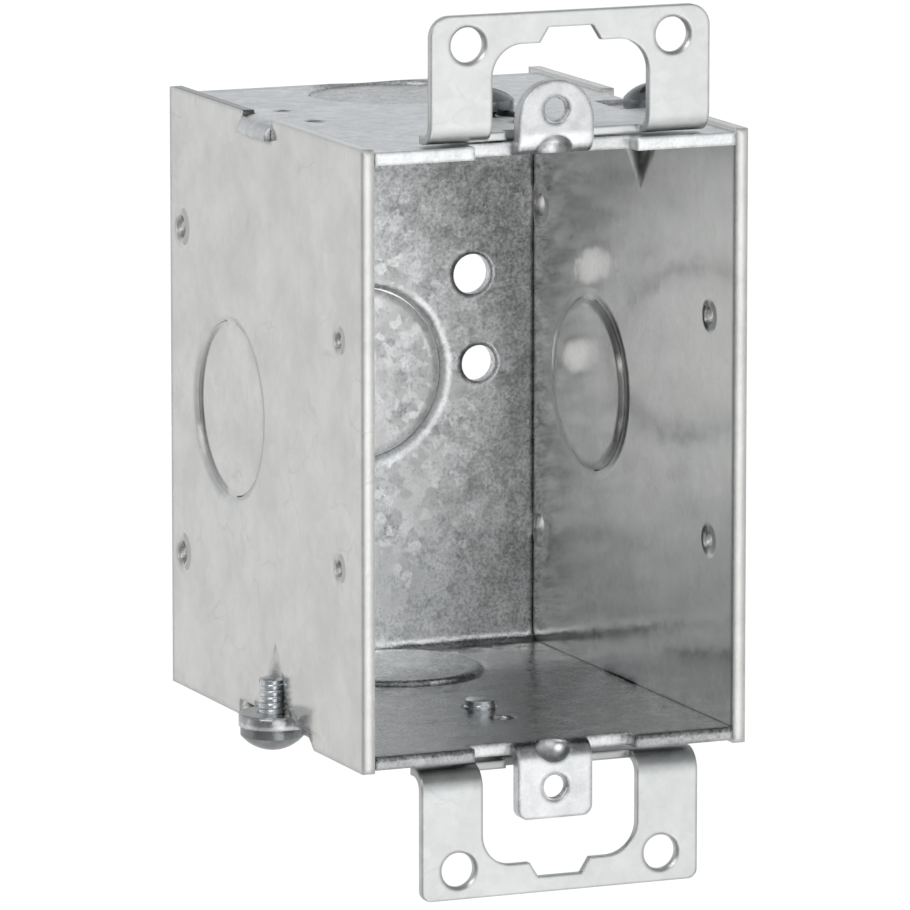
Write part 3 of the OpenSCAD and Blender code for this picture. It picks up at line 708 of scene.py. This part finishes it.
def seam_painted_shadow(tree, spot):
    """Mask of the painted shadow in the open seam between a side plate and a wall, and in the lance
    pockets.
    """
    place = add(tree, SPLIT, [spot])
    mirrored = add(tree, VECTOR, [spot], operation="ABSOLUTE")
    side = add(tree, SPLIT, [mirrored])
    # The hooks are at the upper left and the lower right, where X times Z is negative
    across = add(tree, MATH, [place.outputs["X"], place.outputs["Z"]], operation="MULTIPLY")
    painted_shadow = add(tree, RANGE, [side.outputs["Z"], *SEAM_ON_TOP], **SOFT)
    for axis, start, end, soft in SEAM_BANDS:
        into = add(tree, RANGE, [side.outputs[axis], (start - soft) * MM, start * MM], **SOFT)
        out_of = add(tree, RANGE, [side.outputs[axis], end * MM, (end + soft) * MM, 1.0, 0.0], **SOFT)
        band = add(tree, MATH, [into, out_of], operation="MULTIPLY")
        painted_shadow = add(tree, MATH, [painted_shadow, band], operation="MULTIPLY")
    on_top = add(tree, RANGE, [side.outputs["Z"], *LANCE_ON_TOP], **SOFT)
    for lance_y, reach in LANCES:
        centre = (LANCE_X * LANCE_STRETCH[0], lance_y * LANCE_STRETCH[1], 0)
        away = away_from(tree, mirrored, LANCE_STRETCH, centre)
        near = add(tree, RANGE, [away, LANCE_CORE * reach * MM, reach * MM, LANCE_SHADOW, 0.0], **SOFT)
        pocket = add(tree, MATH, [near, on_top], operation="MULTIPLY")
        painted_shadow = add(tree, MATH, [painted_shadow, pocket], operation="MAXIMUM")
    hook_side = add(tree, MATH, [across, 0.0], operation="LESS_THAN")
    return add(tree, MATH, [painted_shadow, hook_side], operation="MULTIPLY")


# The painted shadow runs along the seams over this depth
print("dust along the seams from", SEAM_BANDS[1][1], "to", SEAM_BANDS[1][2], "mm")

# %% Scuffs
SCUFF_CELL = 8 * MM
SCUFF_BEND = 7 * MM
SCUFF_CURL = 6 * MM
SCUFF_PATCH = 10 * MM
# A scratch is drawn about 0.2 mm wide; a real one is finer and wouldn't show
SCUFF_LINE = (0.008, 0.03, 1.0, 0.0)
SCUFF_KEPT = (0.55, 0.63)


def scuffs(tree, spot):
    """Mask of a few thin crooked scratches, each only a few millimetres long."""
    bend = add(tree, NOISE, {"Vector": spot, "Scale": 1 / SCUFF_CURL, "Detail": 2.0}).outputs["Color"]
    bent = add(tree, VECTOR, [bend, (SCUFF_BEND,) * 3, spot], operation="MULTIPLY_ADD")
    web = add(tree, "ShaderNodeTexVoronoi", {"Vector": bent, "Scale": 1 / SCUFF_CELL},
              feature="DISTANCE_TO_EDGE")
    line = add(tree, RANGE, [web.outputs["Distance"], *SCUFF_LINE], **SOFT)
    patch = add(tree, NOISE, {"Vector": spot, "Scale": 1 / SCUFF_PATCH, "Detail": 1.0})
    kept = add(tree, RANGE, [patch, *SCUFF_KEPT], **SOFT)
    return add(tree, MATH, [line, kept], operation="MULTIPLY")


print("scuffs on a web of", SCUFF_CELL / MM, "mm")

# %% [markdown]
# ## How sheet steel gets its face
# The coil is cleaned and drawn through molten zinc. As the zinc freezes it grows flat crystals,
# the spangle, a millimetre or two across, each tilted a little its own way, so each throws back
# a slightly different part of the room. Handling adds fine dark pepper and dull rub marks. The
# press rolls every sheared edge over a little, and that edge catches the light.
#
# The spangle could be painted in grey tones. It is made here as what it is: every cell of a
# Voronoi pattern tilts the normal its own way and has its own roughness, and only a little of it
# is tone. So it sparkles in reflection and not under dull light, as zinc does.

# %% Spangle and rubbed places
# How far the crooked borders bend, and over what length, as shares of a cell
BORDER_BEND_SHARE, BORDER_CURL_SHARE = 0.7, 0.6
RUBBED_FRONT = (2 * MM, 9 * MM, 0.45, 1.0)
RUBBED_SIDES = (24.6 * MM, 25.0 * MM, 1.0, 0.3)
RUBBED_WALLS = (37.2 * MM, 37.6 * MM, 1.0, 0.55)


def spangle_cells(tree, spot, size):
    """Crystals with crooked borders. The colour of each cell is three random numbers."""
    curl = {"Vector": spot, "Scale": 1 / (BORDER_CURL_SHARE * size), "Detail": 2.0}
    warp = add(tree, NOISE, curl).outputs["Color"]
    bent = add(tree, VECTOR, [warp, (BORDER_BEND_SHARE * size,) * 3, spot], operation="MULTIPLY_ADD")
    return add(tree, "ShaderNodeTexVoronoi", {"Vector": bent, "Scale": 1 / size}).outputs["Color"]


def rubbed_places(tree, spot):
    """1 inside the box. Hands and tools rub the front, the hooks and the outer faces smoother."""
    outer = add(tree, SPLIT, [add(tree, VECTOR, [spot], operation="ABSOLUTE")])
    depth = add(tree, SPLIT, [spot]).outputs["Y"]
    front = add(tree, RANGE, [depth, *RUBBED_FRONT], **SOFT)
    sides = add(tree, RANGE, [outer.outputs["X"], *RUBBED_SIDES], **SOFT)
    walls = add(tree, RANGE, [outer.outputs["Z"], *RUBBED_WALLS], **SOFT)
    both = add(tree, MATH, [front, sides], operation="MULTIPLY")
    return add(tree, MATH, [both, walls], operation="MULTIPLY")


print("the front is rubbed over", RUBBED_FRONT[1] / MM, "mm")

# %% One recipe for zinc coated steel
NOISE_MIDDLE = (0.3, 0.7)
# Grey and cover of the painted shadow in the seams and lance pockets
SEAM_SHADOW_GREY, SEAM_SHADOW_COVER = linear("4a4b4b"), 0.85
OIL_SMOOTHS = 0.45


def zinc_steel(name, light, dark, spangle, tilt, cell_tone, pepper_size, pepper, film_size,
               rough, rough_cell, rough_pepper, grain, wave, edge, scuff, marks=None, tones=None, oil=None):
    """A metal with a crystal coat. Sizes, grain, wave and edge are in mm, the rest are shares."""
    material, tree = new_material(name)
    spot = add(tree, "ShaderNodeTexCoord").outputs["Object"]
    cells = spangle_cells(tree, spot, spangle * MM)
    cell = add(tree, "ShaderNodeSeparateColor", [cells])
    speck = add(tree, NOISE, {"Vector": spot, "Scale": 1 / (pepper_size * MM), "Detail": 3.0,
                              "Roughness": 0.7})
    film = add(tree, NOISE, {"Vector": spot, "Scale": 1 / (film_size * MM), "Detail": 5.0,
                             "Roughness": 0.62})
    rubbed = rubbed_places(tree, spot)
    place_tone = tones(tree, spot) if tones else 0.0
    place_marks = marks(tree, spot) if marks else 0.0
    oiled = oil(tree, spot) if oil else 0.0

    # Colour: the film shifts it between two greys, then cells, pepper and scuffs change its tone, painted
    # light and shade by place is added, and painted shadow darkens the seams
    cloud = add(tree, RANGE, [film, *NOISE_MIDDLE], **SOFT)
    grey = add(tree, MIX, {"Factor": cloud, "A": linear(dark), "B": linear(light)}, data_type="RGBA")
    cell_level = add(tree, RANGE, [cell.outputs["Red"], 0.0, 1.0, 1 - cell_tone, 1 + cell_tone], **SOFT)
    speck_level = add(tree, RANGE, [speck, *NOISE_MIDDLE, -pepper, pepper], **SOFT)
    # The tone by place holds painted light and shade
    tone = add(tree, MATH, [cell_level, place_tone], operation="ADD")
    tone = add(tree, MATH, [speck_level, rubbed, tone], operation="MULTIPLY_ADD")
    tone = add(tree, MATH, [scuffs(tree, spot), -scuff, tone], operation="MULTIPLY_ADD")
    toned = add(tree, MIX, {"Factor": 1.0, "A": grey, "B": tone}, data_type="RGBA",
                blend_type="MULTIPLY", clamp_result=True)
    # Painted shadow in the seams and lance pockets
    painted_shadow = add(tree, MATH, [seam_painted_shadow(tree, spot), SEAM_SHADOW_COVER], operation="MULTIPLY")
    colour = add(tree, MIX, {"Factor": painted_shadow, "A": toned, "B": SEAM_SHADOW_GREY}, data_type="RGBA")

    # Roughness: by film, cell and pepper, and smoother under oil
    film_rough = add(tree, RANGE, [film, *NOISE_MIDDLE, *rough], **SOFT)
    speck_rough = add(tree, RANGE, [speck, 0.4, 0.7, 0.0, rough_pepper], **SOFT)
    dry = add(tree, MATH, [cell.outputs["Green"], rough_cell, film_rough], operation="MULTIPLY_ADD")
    dry = add(tree, MATH, [dry, speck_rough], operation="ADD")
    slick = add(tree, MATH, [oiled, -OIL_SMOOTHS, 1.0], operation="MULTIPLY_ADD")
    roughness = add(tree, MATH, [dry, slick], operation="MULTIPLY")

    # Normal: the press rolls sheared edges over, each cell tilts, and fine heights lie on top
    rolled = add(tree, "ShaderNodeBevel", {"Radius": edge * MM}, samples=6)
    centred = add(tree, VECTOR, [cells, (0.5, 0.5, 0.5)], operation="SUBTRACT")
    tilted = add(tree, VECTOR, [centred, (tilt,) * 3, rolled], operation="MULTIPLY_ADD")
    unit = add(tree, VECTOR, [tilted], operation="NORMALIZE")
    height = add(tree, MATH, [film, wave * MM, place_marks], operation="MULTIPLY_ADD")
    specks = add(tree, MATH, [speck, rubbed], operation="MULTIPLY")
    height = add(tree, MATH, [specks, grain * MM, height], operation="MULTIPLY_ADD")
    relief = add(tree, "ShaderNodeBump", {"Height": height, "Distance": 1.0, "Strength": 1.0,
                                          "Normal": unit})

    body = add(tree, "ShaderNodeBsdfPrincipled",
               {"Base Color": colour, "Metallic": 1.0, "Roughness": roughness, "Normal": relief})
    add(tree, "ShaderNodeOutputMaterial", {"Surface": body})
    return material


steels = {}
print("pieces show at about 8 pixels to the millimetre")

# %% [markdown]
# ## The four finishes
# The folded sheet is hot dip galvanised: lively spangle of 1.3 mm with pepper between it, fairly
# bright and half rough. That gives the mottled, sparkling inside. The real pepper is about 0.1 mm
# fine, which wouldn't show at this size, so it is drawn at 0.4 mm.

# %% Galvanised sheet of the body
steels["galvanised_sheet"] = zinc_steel(
    "galvanised_sheet", light="e4e5e6", dark="c5c7c8", spangle=1.3, tilt=0.1, cell_tone=0.08,
    pepper_size=0.42, pepper=0.3, film_size=4, rough=(0.24, 0.38), rough_cell=0.08,
    rough_pepper=0.1, grain=0.012, wave=0.02, edge=0.8, scuff=0.04,
    marks=folded_marks, tones=folded_tone, oil=bottom_inner_face)
print("galvanised_sheet", len(steels["galvanised_sheet"].node_tree.nodes), "nodes")

# %% [markdown]
# The side plates come from a coil whose zinc was rolled flat after the bath, which presses the
# spangle down. So they are calm and glossy: the inside of the right plate mirrors the holes and
# the disc of the back. Their faint cells are 2.2 mm wide, and their pepper is drawn coarser too.

# %% Rolled flat sheet of the side plates
steels["side_sheet"] = zinc_steel(
    "side_sheet", light="dddddb", dark="cfcfcd", spangle=2.2, tilt=0.018, cell_tone=0.02,
    pepper_size=0.6, pepper=0.05, film_size=9, rough=(0.11, 0.17), rough_cell=0.03,
    rough_pepper=0.03, grain=0.003, wave=0.02, edge=1.5, scuff=0.07, marks=plate_marks)
print("side_sheet", len(steels["side_sheet"].node_tree.nodes), "nodes")

# %% [markdown]
# The plaster ears are blanked from thin strip with a fine coat and tumbled, which rubs them
# evenly dull and bright. They throw back the light in front of them without any picture in it.

# %% Tumbled strip of the plaster ears
steels["ear_steel"] = zinc_steel(
    "ear_steel", light="d4d6d5", dark="c3c5c4", spangle=1.2, tilt=0.03, cell_tone=0.03,
    pepper_size=0.45, pepper=0.06, film_size=5, rough=(0.26, 0.36), rough_cell=0.05,
    rough_pepper=0.03, grain=0.005, wave=0.02, edge=0.5, scuff=0.05, tones=lower_ear_tone)
print("ear_steel", len(steels["ear_steel"].node_tree.nodes), "nodes")

# %% [markdown]
# The screws are zinc plated in a bath with a current. That coat has no spangle that the eye
# could see, only a fine grain of 0.7 mm here, and it is darker than the sheet.

# %% Zinc plating of the screws
steels["zinc_plated"] = zinc_steel(
    "zinc_plated", light="9fa2a2", dark="84878a", spangle=0.7, tilt=0.02, cell_tone=0.04,
    pepper_size=0.3, pepper=0.1, film_size=2.5, rough=(0.22, 0.3), rough_cell=0.04,
    rough_pepper=0.04, grain=0.003, wave=0.0, edge=0.1, scuff=0.0, tones=shank_painted_light)
print("zinc_plated", len(steels["zinc_plated"].node_tree.nodes), "nodes")

# %% [markdown]
# ## Every piece gets its finish
# The record says which finish each solid has, so the solids take theirs from it. A list written
# here would say the same twice. The screws and the threads of the tabs are new pieces and get
# theirs one by one.

# %% Assign the finishes
SLOT_OF = {row["node"]: row["material_slot"] for row in frame["record"]["subparts"]}
for name, node in frame["nodes"].items():
    for holder in node.material_slots:
        holder.material = steels[SLOT_OF[name]]
for pieces, finish in ((screws, "zinc_plated"), (tab_threads, "galvanised_sheet")):
    for piece in pieces:
        piece.data.materials.clear()
        piece.data.materials.append(steels[finish])
print(SLOT_OF)
